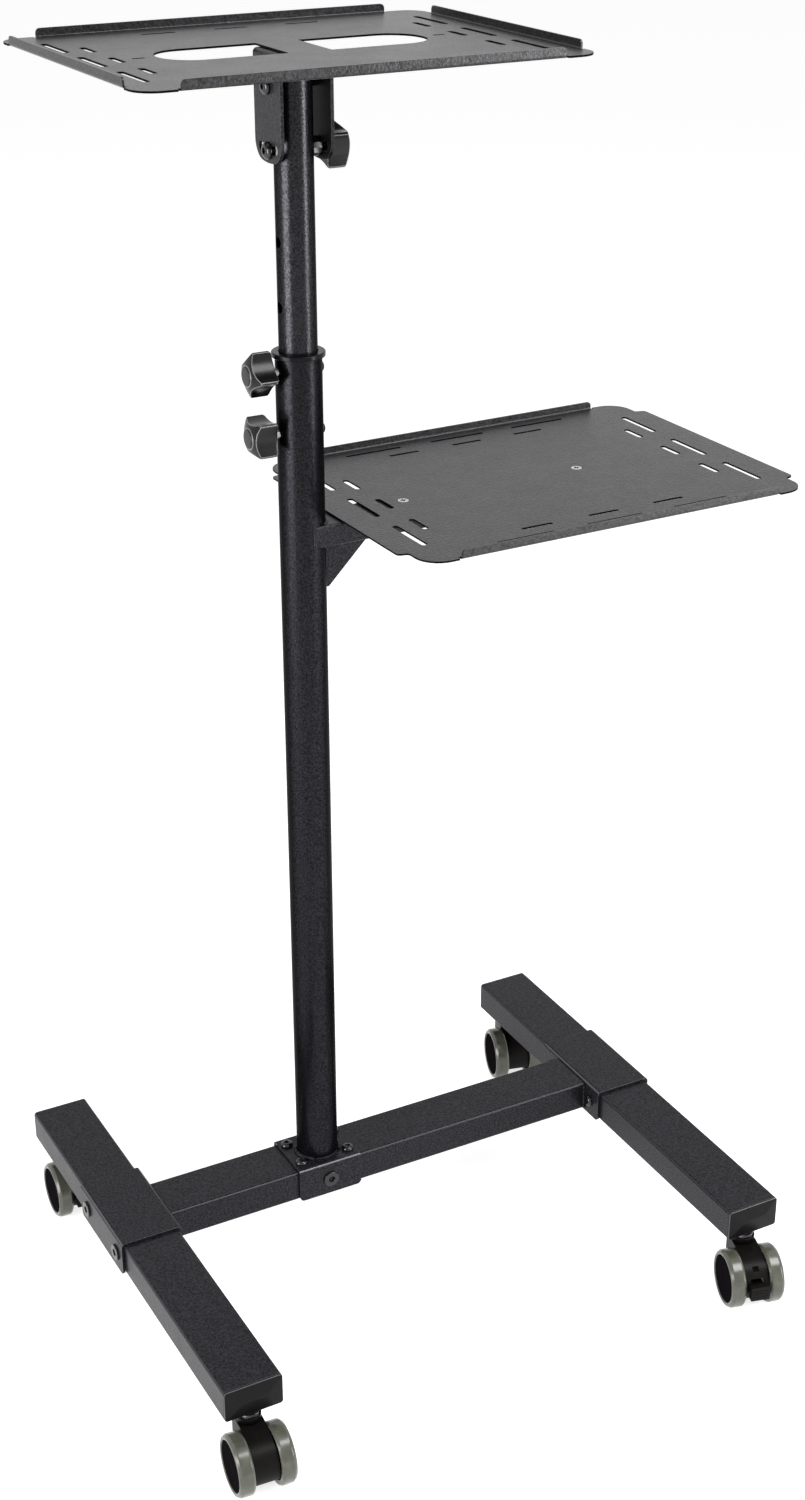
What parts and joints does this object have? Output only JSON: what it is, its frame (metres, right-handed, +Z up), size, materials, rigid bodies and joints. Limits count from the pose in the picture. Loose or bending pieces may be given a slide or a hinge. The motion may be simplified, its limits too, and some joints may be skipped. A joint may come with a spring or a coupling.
{
  "type": "mobile workstation cart",
  "caption": "Rolling stand with an H-shaped caster base, a telescoping column with clamp knobs, a fixed side tray and a tilting top tray for a laptop or projector.",
  "frame": {"origin": "on the floor, under the middle of the whole stand's box", "axes": "+Z up along the column, +X along the cross tube from the column towards the lower tray, +Y towards the back, -Y towards the viewer"},
  "size_m": [0.6162, 0.4724, 1.0606],
  "materials": {
    "powder_coat": "satin black powder coat with a fine texture",
    "black_plastic": "semi-gloss moulded black",
    "hood_plastic": "matt brownish black",
    "tyre": "glossy grey-green moulded tyre round a charcoal hub",
    "black_screws": "glossy blackened screw heads",
    "bright_steel": "bright zinc plate"
  },
  "bodies": {
    "base": {"arm_gusset": "powder_coat", "back_left_caster_stem": "bright_steel", "back_right_caster_stem": "bright_steel", "cross_tube": "powder_coat", "front_left_caster_stem": "bright_steel", "front_right_caster_stem": "bright_steel", "left_leg_back_bolt": "black_screws", "left_leg_back_cap": "black_plastic", "left_leg_bracket": "powder_coat", "left_leg_front_bolt": "black_screws", "left_leg_front_cap": "black_plastic", "left_leg_tube": "powder_coat", "lower_tray": "powder_coat", "lower_tray_screw_far": "black_screws", "lower_tray_screw_near": "black_screws", "outer_pole": "powder_coat", "pole_bush": "black_plastic", "right_leg_back_bolt": "black_screws", "right_leg_back_cap": "black_plastic", "right_leg_bracket": "powder_coat", "right_leg_front_bolt": "black_screws", "right_leg_front_cap": "black_plastic", "right_leg_tube": "powder_coat", "saddle_bracket": "powder_coat", "saddle_screw_back_left": "black_screws", "saddle_screw_back_right": "black_screws", "saddle_screw_front_left": "black_screws", "saddle_screw_front_right": "black_screws", "saddle_side_bolt": "black_screws", "tray_arm": "powder_coat"},
    "mast": {"inner_pole": "powder_coat", "tilt_pivot_bolt": "bright_steel", "tilt_clamp_bolt": "bright_steel", "left_clamp_spacer": "bright_steel", "right_clamp_spacer": "bright_steel"},
    "tilt_head": {"tilt_bracket": "powder_coat", "top_tray": "powder_coat"},
    "tilt_knob_body": {"tilt_knob": "black_plastic"},
    "upper_clamp": {"upper_clamp_knob": "black_plastic", "upper_clamp_screw": "bright_steel"},
    "lower_clamp": {"lower_clamp_knob": "black_plastic", "lower_clamp_screw": "bright_steel"},
    "front_left_caster": {"front_left_hood": "hood_plastic", "front_left_axle": "bright_steel"},
    "front_left_wheel_left": {"front_left_wheel_left": "tyre"},
    "front_left_wheel_right": {"front_left_wheel_right": "tyre"},
    "front_right_caster": {"front_right_hood": "hood_plastic", "front_right_axle": "bright_steel"},
    "front_right_wheel_left": {"front_right_wheel_left": "tyre"},
    "front_right_wheel_right": {"front_right_wheel_right": "tyre"},
    "front_right_brake": {"front_right_brake_lever": "black_plastic"},
    "back_right_caster": {"back_right_hood": "hood_plastic", "back_right_axle": "bright_steel"},
    "back_right_wheel_left": {"back_right_wheel_left": "tyre"},
    "back_right_wheel_right": {"back_right_wheel_right": "tyre"},
    "back_left_caster": {"back_left_hood": "hood_plastic", "back_left_axle": "bright_steel"},
    "back_left_wheel_left": {"back_left_wheel_left": "tyre"},
    "back_left_wheel_right": {"back_left_wheel_right": "tyre"},
    "back_left_brake": {"back_left_brake_lever": "black_plastic"}
  },
  "joints": [
    {"name": "column_height", "type": "slide", "parent": "base", "child": "mast", "axis": [0, 0, 1], "range_m": [-0.0984, 0.1968]},
    {"name": "tray_tilt", "type": "hinge", "parent": "mast", "child": "tilt_head", "pos_m": [-0.09758, 0.05762, 1.02846], "axis": [1, 0, 0], "range_deg": [-15, 15]},
    {"name": "tilt_knob_turn", "type": "hinge", "parent": "mast", "child": "tilt_knob_body", "pos_m": [-0.09758, 0.05762, 0.98246], "axis": [1, 0, 0], "continuous": true},
    {"name": "upper_clamp_turn", "type": "hinge", "parent": "base", "child": "upper_clamp", "pos_m": [-0.09758, 0.05762, 0.81626], "axis": [-1, 0, 0], "continuous": true},
    {"name": "lower_clamp_turn", "type": "hinge", "parent": "base", "child": "lower_clamp", "pos_m": [-0.09758, 0.05762, 0.76706], "axis": [-1, 0, 0], "continuous": true},
    {"name": "front_left_swivel", "type": "hinge", "parent": "base", "child": "front_left_caster", "pos_m": [-0.27838, -0.18528, -0.00014], "axis": [0, 0, 1], "continuous": true},
    {"name": "front_left_wheel_left_spin", "type": "hinge", "parent": "front_left_caster", "child": "front_left_wheel_left", "pos_m": [-0.29082, -0.2053, 0.02563], "axis": [0.9972, -0.075, 0], "continuous": true},
    {"name": "front_left_wheel_right_spin", "type": "hinge", "parent": "front_left_caster", "child": "front_left_wheel_right", "pos_m": [-0.26908, -0.20694, 0.02563], "axis": [0.9972, -0.075, 0], "continuous": true},
    {"name": "front_right_swivel", "type": "hinge", "parent": "base", "child": "front_right_caster", "pos_m": [0.20022, -0.18528, -0.00014], "axis": [0, 0, 1], "continuous": true},
    {"name": "front_right_wheel_left_spin", "type": "hinge", "parent": "front_right_caster", "child": "front_right_wheel_left", "pos_m": [0.18416, -0.20253, 0.02563], "axis": [0.9641, -0.2656, 0], "continuous": true},
    {"name": "front_right_wheel_right_spin", "type": "hinge", "parent": "front_right_caster", "child": "front_right_wheel_right", "pos_m": [0.20518, -0.20832, 0.02563], "axis": [0.9641, -0.2656, 0], "continuous": true},
    {"name": "front_right_brake_press", "type": "hinge", "parent": "front_right_caster", "child": "front_right_brake", "pos_m": [0.19132, -0.21757, 0.02686], "axis": [0.9641, -0.2656, 0], "range_deg": [0, 12]},
    {"name": "back_right_swivel", "type": "hinge", "parent": "base", "child": "back_right_caster", "pos_m": [0.20022, 0.22202, -0.00014], "axis": [0, 0, 1], "continuous": true},
    {"name": "back_right_wheel_left_spin", "type": "hinge", "parent": "back_right_caster", "child": "back_right_wheel_left", "pos_m": [0.1845, 0.20446, 0.02563], "axis": [0.969, -0.247, 0], "continuous": true},
    {"name": "back_right_wheel_right_spin", "type": "hinge", "parent": "back_right_caster", "child": "back_right_wheel_right", "pos_m": [0.20562, 0.19908, 0.02563], "axis": [0.969, -0.247, 0], "continuous": true},
    {"name": "back_left_swivel", "type": "hinge", "parent": "base", "child": "back_left_caster", "pos_m": [-0.27838, 0.22202, -0.00014], "axis": [0, 0, 1], "continuous": true},
    {"name": "back_left_wheel_left_spin", "type": "hinge", "parent": "back_left_caster", "child": "back_left_wheel_left", "pos_m": [-0.28997, 0.2015, 0.02563], "axis": [0.9995, -0.0332, 0], "continuous": true},
    {"name": "back_left_wheel_right_spin", "type": "hinge", "parent": "back_left_caster", "child": "back_left_wheel_right", "pos_m": [-0.26818, 0.20077, 0.02563], "axis": [0.9995, -0.0332, 0], "continuous": true},
    {"name": "back_left_brake_press", "type": "hinge", "parent": "back_left_caster", "child": "back_left_brake", "pos_m": [-0.27949, 0.18854, 0.02686], "axis": [0.9995, -0.0332, 0], "range_deg": [0, 12]}
  ]
}
